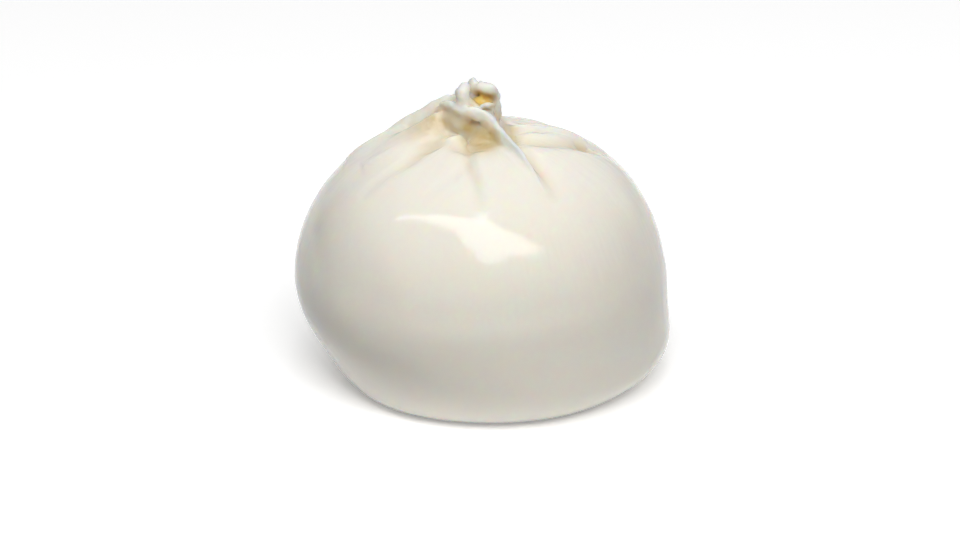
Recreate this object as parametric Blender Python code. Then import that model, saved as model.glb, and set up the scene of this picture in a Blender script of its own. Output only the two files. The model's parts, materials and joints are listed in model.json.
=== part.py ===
"""Burrata: a ball of fresh stretched-curd cheese that sags on a flat base.

The skin is gathered over the top into a pinched neck, tied off in a ragged knot of small
curled lobes. A strand of skin wraps the neck and runs down the front as a taut ridge.
The front is -Y, +X is to the right, and the part rests on its flat base at height zero.
"""
import math
import random

import bmesh
import bpy
from mathutils import Vector
from mathutils.kdtree import KDTree

MM = 0.001

# The ball
HALF_WIDTH = 46.6 * MM        # half of the width at the widest height
WIDEST_HEIGHT = 25.0 * MM     # the ball sags, so this is well under half of its height
DOME_HEIGHT = 62.2 * MM       # where the crown would close if no neck rose from it
REST_RADIUS = 34.0 * MM       # half of the width of the flat base
CROWN_POWER = 1.8             # how flat the crown is on top: 2 is an ellipse
SHOULDER_POWER = 2.9          # how full its shoulders are: 2 is an ellipse
HEEL_SHIFT = 4.4 * MM         # low down, the ball bulges this far to the right
HEEL_HEIGHT = 5.0 * MM
HEEL_SPREAD = 12.0 * MM
FOOT_LOBES = [(-38, 24, 1.1), (50, 24, -0.9)]   # azimuth, spread and outward bulge of the foot
FOOT_SPREAD = 8.0 * MM        # height that those bulges fade over

# The neck's outline from the crown's edge over the lip and down into the knot's hollow, as
# (radius in mm, height in mm, share of the cone behind the neck, share of the lip's lobes)
CROWN_EDGE = 13.5
CROWN_LEAD = 16.0             # the outline's curve starts in line with the crown out here
NECK_OUTLINE = [
    (10.8, 61.7, 0.2, 0.0), (8.6, 61.1, 0.6, 0.0), (6.8, 60.2, 1.0, 0.0), (5.5, 61.4, 1.0, 0.0),
    (4.9, 64.0, 0.6, 0.0), (4.7, 66.8, 0.1, 0.1), (5.0, 69.0, 0.0, 0.45), (4.6, 70.8, 0.0, 0.9),
    (3.7, 71.4, 0.0, 1.0), (2.8, 70.2, 0.0, 0.75), (1.9, 69.0, 0.0, 0.3), (0.9, 68.4, 0.0, 0.0),
]
NECK_STEP = 1.2               # spacing of the neck's rings along its outline, in mm
NECK_FOOT = 2                 # the outline's corner at the foot of the neck's wall
NECK_TOP = 6                  # its corner at the top of the wall
LIP = 8                       # its corner on the lip
CONE_RISE = 3.8 * MM          # behind, the skin climbs the neck this much higher than in front
CONE_START = 60.0             # degrees round from the front where that begins
CONE_FULL = 120.0             # and where it is complete
NECK_PLEATS = 9               # pleats gathered round the neck
NECK_PLEAT_DEPTH = 0.55 * MM
NECK_TWIST = 0.9              # radians that the pleats turn from the neck's foot to its top
BROAD_PLEATS = 4              # broader folds under those, so that no two pleats are alike
BROAD_SHARE = 0.6
BROAD_PHASE = 1.0

# Gathers: pleats of skin that climb from the crown to the lip. Azimuth in degrees, then
# half-width, rise at the neck and reach from the centre line, in mm
GATHERS = [
    (-113, 3.9, 11.0, 29), (-84, 3.1, 8.4, 27), (-139, 2.3, 5.0, 23), (-162, 2.0, 4.2, 20),
    (174, 2.5, 5.2, 23), (147, 2.0, 4.4, 20), (117, 2.0, 3.2, 19), (-44, 2.8, 3.4, 17),
]
GATHER_POWER = 1.5            # how hollow the slope of a gather is: 1 is straight
BLEND_POWER = 3.0             # how sharply neighbouring gathers meet: 1 adds them up

# The ragged lip of the knot: azimuth and spread in degrees, rise and outward curl in mm
LIP_LOBES = [
    (-82, 24, 3.2, 0.4), (-136, 18, 1.8, 0.5), (176, 24, 3.7, 0.5), (126, 18, 2.2, 0.2),
    (76, 26, 2.4, -0.9), (-38, 20, 1.2, 0.3), (18, 26, -1.6, 0.0),
]

# How finely the solid is faceted
REST_RINGS = 3
CORNER_RINGS = 8
SIDE_RINGS = 7
CROWN_RINGS = 16
SIDE_SEGMENTS = 48
CROWN_SEGMENTS = 96
PATH_STEP = 0.8 * MM          # spacing of the points along a fold's path
FOLD_START = 0.12             # share of its fade that a fold starts with, at its inner end
FOLD_FADE = 0.7               # how bluntly it fades at its ends: 1 is a plain half-wave
FOLD_REACH = 3                # a fold's influence ends this many widths from its path

# Folds of the skin that show at the front. A path is (azimuth in degrees from the front,
# radius in mm) and, where the skin is gathered up, mm above the plain crown; rise is the
# height of a ridge, or the depth of a crease if negative.
FRONT_FOLDS = {
    "pocket": dict(path=[(-8, 7.2), (20, 8.6)], rise=-1.5, width=2.4),
    "centre_crease": dict(
        path=[(-16, 8), (-12, 13), (-6, 20), (-1, 27), (1, 33)],
        rise=-1.1, width=1.6),
    "branch_crease": dict(path=[(-10, 17), (-14, 23), (-26, 32)], rise=-0.4, width=1.6),
    "left_arc": dict(
        path=[(-22, 12), (-46, 12.5), (-53, 17), (-50, 24), (-56, 35)],
        rise=-1.0, width=2.1),
    "left_ridge": dict(path=[(-84, 8), (-72, 13), (-70, 21), (-74, 30)], rise=1.0, width=2.8),
    "left_valley": dict(
        path=[(-92, 7.6, 6.5), (-66, 7.0, 5.5), (-38, 6.6, 3.6), (-10, 7.4, 1.0)],
        rise=-1.3, width=1.9),
    "strand_ridge": dict(path=[(26, 9.5), (27, 14), (29, 19), (31, 29)], rise=1.1, width=2.2),
    "strand_valley": dict(path=[(62, 9), (44, 16), (37, 24), (35, 33)], rise=-1.3, width=2.0),
    "right_valley": dict(path=[(130, 8.5), (92, 8.5), (60, 9)], rise=-1.3, width=2.4),
    "right_crease": dict(
        path=[(61, 9), (73, 15.5), (87, 22), (100, 28), (108, 36)],
        rise=-0.9, width=2.6),
    "right_dimple": dict(path=[(92, 25), (100, 29)], rise=-1.3, width=2.8),
    "right_hump": dict(path=[(108, 15), (110, 21), (106, 28)], rise=1.0, width=4.2),
    "left_swell": dict(path=[(-104, 19), (-102, 23), (-100, 28)], rise=1.6, width=5.0),
}
# Creases round the back, spread by a rule: angles in degrees, sizes in mm
BACK_FOLDS = 8
BACK_START = 112.0            # azimuth of the first
BACK_END = 250.0              # azimuth of the last
BACK_SCATTER = 0.25           # how far one may stray, as a share of the spacing
BACK_LEAN = 12.0              # how far its outer end may swing round
BACK_INNER = 6.0              # radius where it starts
BACK_BEND = 13.0              # radius where it bends
BACK_REACH = (24.0, 38.0)     # radius where it ends, least and most
BACK_DEPTH = (0.9, 1.6)
BACK_WIDTH = (1.8, 2.6)
BACK_SEED = 7

# Lobes of skin that lie on the neck or make the knot. A path is (x, y, z) in mm and the
# half-widths go with its points; flat is the thickness as a share of the width, and skirt
# is how much deeper the lobe is below its middle than above it.
LOBES = {
    "strand": dict(
        path=[(-9.2, 3.0, 68.6), (-7.9, 0.0, 69.7), (-5.9, -3.3, 69.8), (-3.5, -5.2, 69.5),
              (-0.8, -6.1, 69.4), (1.8, -6.7, 68.5), (4.2, -8.7, 66.5), (6.8, -12.0, 64.6),
              (9.4, -15.8, 62.8), (12.2, -20.3, 60.5), (15.4, -25.3, 57.1)],
        half=[1.2, 1.5, 1.7, 1.9, 2.1, 1.7, 1.1, 0.9, 0.8, 0.7, 0.4], flat=0.75,
        skirt=[1.0, 1.0, 1.2, 1.3, 1.3, 1.8, 3.6, 4.0, 3.2, 2.4, 1.0]),
    "throat": dict(
        path=[(-0.5, -3.0, 68.5), (0.2, -3.9, 65.2), (1.0, -5.0, 62.8), (1.4, -5.8, 60.2)],
        half=[3.6, 3.8, 4.4, 4.6], flat=0.4),
    "left_nodule": dict(
        path=[(-3.2, -2.8, 69.0), (-4.0, -3.5, 71.6), (-4.0, -2.9, 73.7), (-3.3, -1.5, 75.0)],
        half=[1.5, 1.7, 1.7, 1.2], flat=0.9),
    "top_nub": dict(
        path=[(-1.3, 1.4, 71.2), (-1.4, 1.2, 74.0), (-1.6, 0.6, 75.8)],
        half=[2.0, 1.7, 0.9], flat=0.9),
    "right_lobe": dict(
        path=[(-0.8, -0.2, 73.9), (0.9, -1.5, 74.0), (2.4, -1.6, 73.7), (3.1, -1.0, 72.3),
              (2.8, -1.2, 70.2)],
        half=[1.4, 1.7, 1.8, 1.6, 1.2], flat=0.9),
    "knot_roof": dict(
        path=[(-1.0, 1.6, 72.0), (1.0, 1.5, 72.8), (2.6, 1.0, 72.2)],
        half=[1.8, 2.1, 1.8], flat=0.9),
    "right_heel": dict(
        path=[(0.6, -4.6, 70.6), (2.2, -4.6, 70.7), (3.4, -3.2, 70.4)],
        half=[0.7, 0.9, 0.8], flat=0.9),
    "back_nub": dict(
        path=[(0.6, 3.4, 66.4), (1.3, 4.4, 70.0), (0.5, 3.6, 73.0)],
        half=[1.4, 1.7, 1.1], flat=0.8),
}
LOBE_SIDES = 10               # sides round a lobe
LOBE_STEP = 1.1 * MM          # spacing of its rings
LOBE_END = 0.6                # how far a lobe's round end stands out, as a share of its half-width
SLIVER = 0.02 * MM            # a shorter edge than this is closed up after the union
SHARP_ANGLE = 70.0            # degrees past which two faces meet in a sharp edge

CHEESE_COLOUR = (0.86, 0.82, 0.72, 1.0)   # warm ivory white
CHEESE_ROUGHNESS = 0.25                   # wet skin


def clear_objects():
    for existing in list(bpy.data.objects):
        bpy.data.objects.remove(existing, do_unlink=True)


def make_cheese():
    material = bpy.data.materials.new("fresh_cheese")
    material.use_nodes = True
    shader = material.node_tree.nodes["Principled BSDF"]
    shader.inputs["Base Color"].default_value = CHEESE_COLOUR
    shader.inputs["Roughness"].default_value = CHEESE_ROUGHNESS
    shader.inputs["Metallic"].default_value = 0.0
    return material


def smooth_path(corners, step):
    """Points every step or so along a Catmull-Rom curve through the corners, with each
    point's share of the corner before and after it."""
    points = []
    last = len(corners) - 1
    for start in range(last):
        before = corners[max(start - 1, 0)]
        first = corners[start]
        second = corners[start + 1]
        after = corners[min(start + 2, last)]
        count = max(2, round((second - first).length / step))
        for k in range(count + (start == last - 1)):
            t = k / count
            point = 0.5 * (2 * first + (second - before) * t
                           + (2 * before - 5 * first + 4 * second - after) * t ** 2
                           + (3 * first - before - 3 * second + after) * t ** 3)
            points.append((point, start + t))
    return points


def centre_x(height):
    """The centre line bends: low down, the ball bulges to the right."""
    return HEEL_SHIFT * math.exp(-((height - HEEL_HEIGHT) / HEEL_SPREAD) ** 2)


def crown_height(radius):
    """Height of the plain crown at a distance from its centre line."""
    share = (1.0 - min(1.0, radius / HALF_WIDTH) ** SHOULDER_POWER) ** (1.0 / CROWN_POWER)
    return WIDEST_HEIGHT + (DOME_HEIGHT - WIDEST_HEIGHT) * share


def crown_radius(share):
    """Distance from the centre line at a share of the way up the plain crown."""
    return HALF_WIDTH * (1.0 - share ** CROWN_POWER) ** (1.0 / SHOULDER_POWER)


def on_crown(azimuth, radius, lift=0.0):
    """A point on or above the plain crown: degrees from the front, then radius and lift in mm."""
    turn = math.radians(azimuth)
    height = crown_height(radius * MM)
    along_x = centre_x(height) + radius * MM * math.sin(turn)
    return Vector((along_x, -radius * MM * math.cos(turn), height + lift * MM))


def side_outline():
    """(radius, height, cone share, lip share, segments) for each ring, from base to knot."""
    rings = []
    for k in range(1, REST_RINGS + 1):
        rings.append((REST_RADIUS * k / REST_RINGS, 0.0, 0.0, 0.0, SIDE_SEGMENTS))
    for k in range(1, CORNER_RINGS + 1):
        turn = math.pi / 2 * k / CORNER_RINGS
        radius = REST_RADIUS + (HALF_WIDTH - REST_RADIUS) * math.sin(turn)
        rings.append((radius, WIDEST_HEIGHT * (1.0 - math.cos(turn)), 0.0, 0.0, SIDE_SEGMENTS))
    top_share = (crown_height(CROWN_EDGE * MM) - WIDEST_HEIGHT) / (DOME_HEIGHT - WIDEST_HEIGHT)
    crown_rings = SIDE_RINGS + CROWN_RINGS
    for k in range(1, crown_rings + 1):
        radius = crown_radius(top_share * math.sin(math.pi / 2 * k / crown_rings))
        segments = SIDE_SEGMENTS if k <= SIDE_RINGS else CROWN_SEGMENTS
        rings.append((radius, crown_height(radius), 0.0, 0.0, segments))
    neck = [Vector((radius, crown_height(radius * MM) / MM, 0.0, 0.0)) for radius in (CROWN_LEAD, CROWN_EDGE)]
    neck += [Vector(corner) for corner in NECK_OUTLINE]
    for point, place in smooth_path(neck, NECK_STEP):
        if place > 1.0:       # past the crown's edge
            rings.append((point.x * MM, point.y * MM, point.z, point.w, SIDE_SEGMENTS))
    return rings


def round_bell(azimuth, middle, spread):
    """A bell's height at an azimuth, 1 at its middle, with all three in degrees."""
    apart = (azimuth - middle + 180.0) % 360.0 - 180.0
    return math.exp(-(apart / spread) ** 2)


def foot_bulge(radius, height, azimuth):
    """How far the foot bulges out, or in, beyond a plain round."""
    bulge = sum(out * MM * round_bell(azimuth, middle, spread) for middle, spread, out in FOOT_LOBES)
    return bulge * min(1.0, radius / REST_RADIUS) ** 2 * math.exp(-(height / FOOT_SPREAD) ** 2)


def neck_pleat(radius, height, turn):
    """How far the gathered pleats push the neck's wall out or in."""
    foot_radius, foot = NECK_OUTLINE[NECK_FOOT][:2]
    wall_radius, top = NECK_OUTLINE[NECK_TOP][:2]
    near = 1.0 - min(1.0, max(0.0, (radius / MM - foot_radius) / (CROWN_EDGE - foot_radius)))
    way_up = min(1.0, max(0.0, (height / MM - foot) / (top - foot)))
    wave = math.sin(NECK_PLEATS * (turn + NECK_TWIST * way_up))
    wave += BROAD_SHARE * math.sin(BROAD_PLEATS * turn + BROAD_PHASE)
    return NECK_PLEAT_DEPTH * near * min(1.0, radius / MM / wall_radius) ** 2 * wave


def cone_rise(azimuth):
    """How far the skin climbs the neck: nothing in front, all of it behind."""
    behind = min(1.0, max(0.0, (abs(azimuth) - CONE_START) / (CONE_FULL - CONE_START)))
    return CONE_RISE * behind * behind * (3.0 - 2.0 * behind)


def climb(radius, height, cone, turn):
    """How far the cone and the gathers lift the skin, from their outer ends up to the lip."""
    foot_radius, foot = NECK_OUTLINE[NECK_FOOT][:2]
    knot_radius = NECK_OUTLINE[LIP - 1][0]
    lip = NECK_OUTLINE[LIP][1]
    rises = [cone * cone_rise(math.degrees(turn))]
    for azimuth, half, full, reach in GATHERS:
        apart = turn - math.radians(azimuth)
        if radius > reach * MM or radius < knot_radius * MM or math.cos(apart) < 0.0:
            continue
        if radius > foot_radius * MM:
            share = ((reach - radius / MM) / (reach - foot_radius)) ** GATHER_POWER
        else:
            share = (lip - height / MM) / (lip - foot)
        rises.append(full * MM * share * math.exp(-(radius * math.sin(apart) / (half * MM)) ** 2))
    return sum(rise ** BLEND_POWER for rise in rises) ** (1.0 / BLEND_POWER)


def lip_shape(azimuth):
    """How far the lip rises and curls out at an azimuth in degrees."""
    rise = 0.0
    curl = 0.0
    for middle, spread, up, out in LIP_LOBES:
        share = round_bell(azimuth, middle, spread)
        rise += up * MM * share
        curl += out * MM * share
    return rise, curl


def back_folds():
    """Creases behind the neck, uneven in length, depth and lean as those at the front."""
    draw = random.Random(BACK_SEED)
    spacing = (BACK_END - BACK_START) / (BACK_FOLDS - 1)
    folds = {}
    for k in range(BACK_FOLDS):
        azimuth = BACK_START + spacing * (k + draw.uniform(-BACK_SCATTER, BACK_SCATTER))
        lean = draw.uniform(-BACK_LEAN, BACK_LEAN)
        path = [(azimuth, BACK_INNER), (azimuth + lean * 0.3, BACK_BEND)]
        path.append((azimuth + lean, draw.uniform(*BACK_REACH)))
        folds["back_crease_%d" % (k + 1)] = dict(
            path=path, rise=-draw.uniform(*BACK_DEPTH), width=draw.uniform(*BACK_WIDTH))
    return folds


def fold_points(fold):
    """The fold's path on the plain crown, with its fade at both ends: (point, strength)."""
    corners = [on_crown(*corner) for corner in fold["path"]]
    points = smooth_path(corners, PATH_STEP)
    last = len(corners) - 1
    strengths = []
    for point, place in points:
        along = min(1.0, FOLD_START + (1.0 - FOLD_START) * place / last)
        strengths.append((point, math.sin(math.pi * along) ** FOLD_FADE))
    return strengths


def fold_skin(mesh_data, folds):
    """Push the skin out along each ridge and in along each crease."""
    normals = [v.normal.copy() for v in mesh_data.verts]
    places = [v.co.copy() for v in mesh_data.verts]
    for fold in folds.values():
        path = fold_points(fold)
        tree = KDTree(len(path))
        for index, (point, _) in enumerate(path):
            tree.insert(point, index)
        tree.balance()
        width = fold["width"] * MM
        for vert, place, normal in zip(mesh_data.verts, places, normals):
            _, index, distance = tree.find(place)
            if distance < FOLD_REACH * width and place.z > WIDEST_HEIGHT:
                fade = path[index][1] * math.exp(-(distance / width) ** 2)
                vert.co += normal * fold["rise"] * MM * fade


def bridge_rings(mesh_data, lower, upper):
    """Faces between two rings; a ring may have half or twice the points of the next."""
    count = max(len(lower), len(upper))
    for k in range(count):
        if len(lower) == len(upper):
            n = (k + 1) % count
            mesh_data.faces.new((lower[k], lower[n], upper[n], upper[k]))
        elif len(lower) < len(upper) and k % 2 == 0:
            a, b = k // 2, (k // 2 + 1) % len(lower)
            mesh_data.faces.new((lower[a], upper[k + 1], upper[k]))
            mesh_data.faces.new((lower[a], lower[b], upper[k + 1]))
            mesh_data.faces.new((lower[b], upper[(k + 2) % count], upper[k + 1]))
        elif len(lower) > len(upper) and k % 2 == 0:
            a, b = k // 2, (k // 2 + 1) % len(upper)
            mesh_data.faces.new((lower[k], lower[k + 1], upper[a]))
            mesh_data.faces.new((lower[k + 1], upper[b], upper[a]))
            mesh_data.faces.new((lower[k + 1], lower[(k + 2) % count], upper[b]))


def close_ring(mesh_data, ring, tip, upward):
    """A fan of triangles from a ring to one point in its middle."""
    for k, vert in enumerate(ring):
        after = ring[(k + 1) % len(ring)]
        mesh_data.faces.new((vert, after, tip) if upward else (after, vert, tip))


def to_object(mesh_data, name):
    mesh = bpy.data.meshes.new(name)
    mesh_data.to_mesh(mesh)
    mesh_data.free()
    obj = bpy.data.objects.new(name, mesh)
    bpy.context.scene.collection.objects.link(obj)
    return obj


def make_body():
    """The ball, the neck and the folds of the skin, as one closed surface of rings."""
    body = bmesh.new()
    outline = side_outline()
    rings = []
    for radius, height, cone, lip, segments in outline:
        ring = []
        for k in range(segments):
            turn = 2 * math.pi * (k / segments - 0.5)
            azimuth = math.degrees(turn)
            rise, curl = lip_shape(azimuth)
            reach = radius + lip * curl + foot_bulge(radius, height, azimuth)
            lift = lip * rise
            if height > WIDEST_HEIGHT:
                reach += neck_pleat(radius, height, turn)
                lift += climb(radius, height, cone, turn)
            place = (centre_x(height) + reach * math.sin(turn), -reach * math.cos(turn), height + lift)
            ring.append(body.verts.new(place))
        rings.append(ring)
    for lower, upper in zip(rings, rings[1:]):
        bridge_rings(body, lower, upper)
    base_middle = body.verts.new((centre_x(0.0), 0.0, 0.0))
    close_ring(body, rings[0], base_middle, upward=False)
    hollow_floor = outline[-1][1]
    close_ring(body, rings[-1], body.verts.new((centre_x(hollow_floor), 0.0, hollow_floor)), upward=True)
    body.normal_update()
    fold_skin(body, {**FRONT_FOLDS, **back_folds()})
    return to_object(body, "burrata")


def at_place(values, place):
    """A value between the two corners that a place on the path lies between."""
    first = min(int(place), len(values) - 2)
    return values[first] + (values[first + 1] - values[first]) * (place - first)


def make_lobe(name, lobe):
    """A curled lobe of skin: a soft tapered tube with round ends along a smooth path."""
    corners = [Vector(point) * MM for point in lobe["path"]]
    halves = lobe["half"]
    skirts = lobe.get("skirt", [1.0] * len(halves))
    points = smooth_path(corners, LOBE_STEP)
    tube = bmesh.new()
    rings = []
    side = Vector((0, 1, 0))
    for index, (point, place) in enumerate(points):
        after = points[min(index + 1, len(points) - 1)][0]
        before = points[max(index - 1, 0)][0]
        along = (after - before).normalized()
        side = (side - along * side.dot(along)).normalized()
        across = along.cross(side)
        half = MM * at_place(halves, place)
        ring = []
        for k in range(LOBE_SIDES):
            turn = 2 * math.pi * k / LOBE_SIDES
            offset = half * (across * math.cos(turn) + side * lobe["flat"] * math.sin(turn))
            if offset.z < 0:
                offset.z *= at_place(skirts, place)
            ring.append(tube.verts.new(point + offset))
        rings.append(ring)
    for lower, upper in zip(rings, rings[1:]):
        bridge_rings(tube, lower, upper)
    for end, inner, upward in ((0, 1, False), (-1, -2, True)):
        outwards = (points[end][0] - points[inner][0]).normalized()
        tip = points[end][0] + outwards * halves[end] * LOBE_END * MM
        close_ring(tube, rings[end], tube.verts.new(tip), upward)
    bmesh.ops.recalc_face_normals(tube, faces=tube.faces[:])
    return to_object(tube, name)


def fuse(body, pieces):
    """Join the pieces to the body with one Boolean union, and remove them."""
    group = bpy.data.collections.new("lobes")
    for piece in pieces:
        bpy.context.scene.collection.objects.unlink(piece)
        group.objects.link(piece)
    bpy.context.scene.collection.children.link(group)
    union = body.modifiers.new("fuse", "BOOLEAN")
    union.operation = "UNION"
    union.operand_type = "COLLECTION"
    union.collection = group
    union.solver = "MANIFOLD"     # the exact one leaves shells that touch where two lobes nearly coincide
    fused = bpy.data.meshes.new_from_object(body.evaluated_get(bpy.context.evaluated_depsgraph_get()))
    body.modifiers.remove(union)
    body.data = fused
    for piece in pieces:
        bpy.data.objects.remove(piece, do_unlink=True)
    bpy.data.collections.remove(group)


def close_slivers(shape):
    """Collapse edges too short to see, wherever the skin stays closed without them."""
    bmesh.ops.poke(shape, faces=[face for face in shape.faces if len(face.verts) > 4])
    bmesh.ops.triangulate(shape, faces=shape.faces[:])
    closing = True
    while closing:
        closing = False
        for edge in [edge for edge in shape.edges if edge.calc_length() < SLIVER]:
            if not edge.is_valid:
                continue
            first, second = edge.verts
            around_first = {link.other_vert(first) for link in first.link_edges}
            around_second = {link.other_vert(second) for link in second.link_edges}
            if len(around_first & around_second) == 2:
                bmesh.ops.pointmerge(shape, verts=[first, second], merge_co=(first.co + second.co) / 2)
                closing = True


def drop_scraps(shape):
    """Drop the loose scraps, and fill the sealed pockets, that a union can leave between lobes."""
    unseen = set(shape.faces)
    shells = []
    while unseen:
        waiting = [unseen.pop()]
        shell = list(waiting)
        while waiting:
            for edge in waiting.pop().edges:
                for face in edge.link_faces:
                    if face in unseen:
                        unseen.remove(face)
                        waiting.append(face)
                        shell.append(face)
        shells.append(shell)
    shells.sort(key=len)
    for shell in shells[:-1]:
        bmesh.ops.delete(shape, geom=shell, context="FACES")


def clean_union(obj):
    """Leave one closed skin with no edge too short to see."""
    shape = bmesh.new()
    shape.from_mesh(obj.data)
    close_slivers(shape)
    drop_scraps(shape)
    shape.to_mesh(obj.data)
    shape.free()


def centre_on_origin(obj):
    """Put the middle of the part's box over the origin, with the base at height zero."""
    xs = [v.co.x for v in obj.data.vertices]
    ys = [v.co.y for v in obj.data.vertices]
    middle = Vector(((min(xs) + max(xs)) / 2, (min(ys) + max(ys)) / 2, 0))
    for vert in obj.data.vertices:
        vert.co -= middle


def main():
    clear_objects()
    body = make_body()
    fuse(body, [make_lobe(name, lobe) for name, lobe in LOBES.items()])
    clean_union(body)
    centre_on_origin(body)
    body.data.shade_smooth()
    body.data.set_sharp_from_angle(angle=math.radians(SHARP_ANGLE))
    body.data.materials.clear()
    body.data.materials.append(make_cheese())


main()
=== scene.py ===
import json
import math
import random

import bmesh
import bpy
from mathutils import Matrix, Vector
from mathutils.kdtree import KDTree

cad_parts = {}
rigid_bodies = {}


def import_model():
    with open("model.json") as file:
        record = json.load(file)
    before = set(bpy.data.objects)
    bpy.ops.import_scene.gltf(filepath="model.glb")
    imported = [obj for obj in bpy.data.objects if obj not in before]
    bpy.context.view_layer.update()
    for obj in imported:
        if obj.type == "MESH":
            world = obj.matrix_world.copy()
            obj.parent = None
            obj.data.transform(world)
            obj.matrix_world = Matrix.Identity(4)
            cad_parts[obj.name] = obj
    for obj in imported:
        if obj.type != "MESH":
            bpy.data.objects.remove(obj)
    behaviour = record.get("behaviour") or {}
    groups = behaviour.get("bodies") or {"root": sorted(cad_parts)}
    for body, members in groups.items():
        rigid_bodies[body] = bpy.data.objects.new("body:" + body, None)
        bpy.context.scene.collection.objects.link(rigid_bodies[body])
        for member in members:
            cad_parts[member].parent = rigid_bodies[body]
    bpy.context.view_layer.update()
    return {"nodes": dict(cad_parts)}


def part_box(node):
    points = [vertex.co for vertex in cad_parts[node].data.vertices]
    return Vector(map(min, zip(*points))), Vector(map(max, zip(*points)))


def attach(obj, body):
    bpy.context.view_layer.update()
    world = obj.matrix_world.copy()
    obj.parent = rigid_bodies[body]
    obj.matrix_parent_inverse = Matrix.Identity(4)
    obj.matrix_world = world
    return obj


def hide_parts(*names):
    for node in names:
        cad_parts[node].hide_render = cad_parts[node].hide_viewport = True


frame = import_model()
print("frame loaded:", sorted(frame["nodes"]))

mm = 0.001
white = (1.0, 1.0, 1.0, 1.0)
scene = bpy.context.scene


# small helpers for node trees

def newTree(name, kind, inputs, outputs):
    tree = bpy.data.node_groups.new(name, kind)
    for label, socketType, value in inputs:
        socket = tree.interface.new_socket(label, in_out="INPUT", socket_type=socketType)
        if value is not None:
            socket.default_value = value
    for label, socketType in outputs:
        tree.interface.new_socket(label, in_out="OUTPUT", socket_type=socketType)
    given = tree.nodes.new("NodeGroupInput").outputs
    return tree, given, tree.nodes.new("NodeGroupOutput").inputs


def newShapeTree(name, inputs):   # takes a geometry and a material, gives the dressed geometry
    inputs = [("Geometry", "NodeSocketGeometry", None), *inputs,
              ("Material", "NodeSocketMaterial", None)]
    return newTree(name, "GeometryNodeTree", inputs, [("Geometry", "NodeSocketGeometry")])


def spaced(key):                  # fibreHeight becomes Fibre Height
    return "".join(" " + letter if letter.isupper() else letter for letter in key).title()


def namedInputs(values, *keys):   # tree inputs that start at a dictionary's values
    kinds = {int: "NodeSocketInt", float: "NodeSocketFloat"}
    return [(spaced(key), kinds[type(values[key])], values[key]) for key in keys or values]


def connect(tree, source, target):
    if isinstance(source, bpy.types.NodeSocket):
        tree.links.new(source, target)
    else:
        target.default_value = source


def put(tree, kind, inputs=None, **settings):
    node = tree.nodes.new(kind)
    for key, value in settings.items():
        setattr(node, key, value)
    for key, value in (inputs or {}).items():
        connect(tree, value, node.inputs[key])
    return node


def calc(tree, operation, *values, clamp=False):
    node = put(tree, "ShaderNodeMath", operation=operation, use_clamp=clamp)
    for socket, value in zip(node.inputs, values):
        connect(tree, value, socket)
    return node.outputs[0]


def times(tree, product, *factors):
    for factor in factors:
        product = calc(tree, "MULTIPLY", product, factor)
    return product


def plus(tree, total, *terms):
    for term in terms:
        total = calc(tree, "ADD", total, term)
    return total


def vectorCalc(tree, operation, *values):
    node = put(tree, "ShaderNodeVectorMath", operation=operation)
    for socket, value in zip(node.inputs, values):
        connect(tree, value, socket)
    isNumber = operation in ("DOT_PRODUCT", "LENGTH", "DISTANCE")
    return node.outputs["Value" if isNumber else "Vector"]


def scaled(tree, vector, factor):
    values = {"Vector": vector, "Scale": factor}
    return put(tree, "ShaderNodeVectorMath", values, operation="SCALE").outputs[0]


def axes(tree, vector):
    return put(tree, "ShaderNodeSeparateXYZ", {"Vector": vector}).outputs


def fromAxes(tree, x, y, z):
    return put(tree, "ShaderNodeCombineXYZ", {"X": x, "Y": y, "Z": z}).outputs[0]


def remap(tree, value, fromLow, fromHigh, toLow=0.0, toHigh=1.0, smooth=True):
    values = {"Value": value, "From Min": fromLow, "From Max": fromHigh,
              "To Min": toLow, "To Max": toHigh}
    kind = "SMOOTHSTEP" if smooth else "LINEAR"
    return put(tree, "ShaderNodeMapRange", values, interpolation_type=kind).outputs[0]


def bell(tree, distance, width):
    ratio = calc(tree, "DIVIDE", distance, width)
    return calc(tree, "EXPONENT", times(tree, ratio, ratio, -1.0))


def noise(tree, vector, scale=1.0, detail=2.0, roughness=0.5):   # from -0.5 to 0.5
    values = {"Vector": vector, "Scale": scale, "Detail": detail, "Roughness": roughness}
    node = put(tree, "ShaderNodeTexNoise", values, noise_dimensions="3D")
    return calc(tree, "SUBTRACT", node.outputs[0], 0.5)


def readAttribute(tree, name, kind="FLOAT"):
    node = put(tree, "GeometryNodeInputNamedAttribute", {"Name": name}, data_type=kind)
    return node.outputs["Attribute"]


def storeAttribute(tree, geometry, name, value, kind="FLOAT"):
    values = {"Geometry": geometry, "Name": name, "Value": value}
    node = put(tree, "GeometryNodeStoreNamedAttribute", values, data_type=kind, domain="POINT")
    return node.outputs["Geometry"]


def movePoints(tree, geometry, **target):   # Position= or Offset=
    return put(tree, "GeometryNodeSetPosition", {"Geometry": geometry, **target}).outputs[0]


def finishTree(tree, geometry, material, out):
    realized = put(tree, "GeometryNodeRealizeInstances", {"Geometry": geometry}).outputs[0]
    dressed = put(tree, "GeometryNodeSetMaterial", {"Geometry": realized, "Material": material})
    connect(tree, dressed.outputs[0], out)


def addNodes(obj, tree, values):
    modifier = obj.modifiers.new(tree.name, "NODES")
    modifier.node_group = tree
    for item in tree.interface.items_tree:
        if item.item_type == "SOCKET" and item.in_out == "INPUT" and item.name in values:
            modifier[item.identifier] = values[item.name]


# small helpers for meshes and paths

def bake(obj, name):
    depsgraph = bpy.context.evaluated_depsgraph_get()
    mesh = bpy.data.meshes.new_from_object(obj.evaluated_get(depsgraph))
    obj.modifiers.clear()
    obj.data = mesh
    obj.name = mesh.name = name


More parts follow.
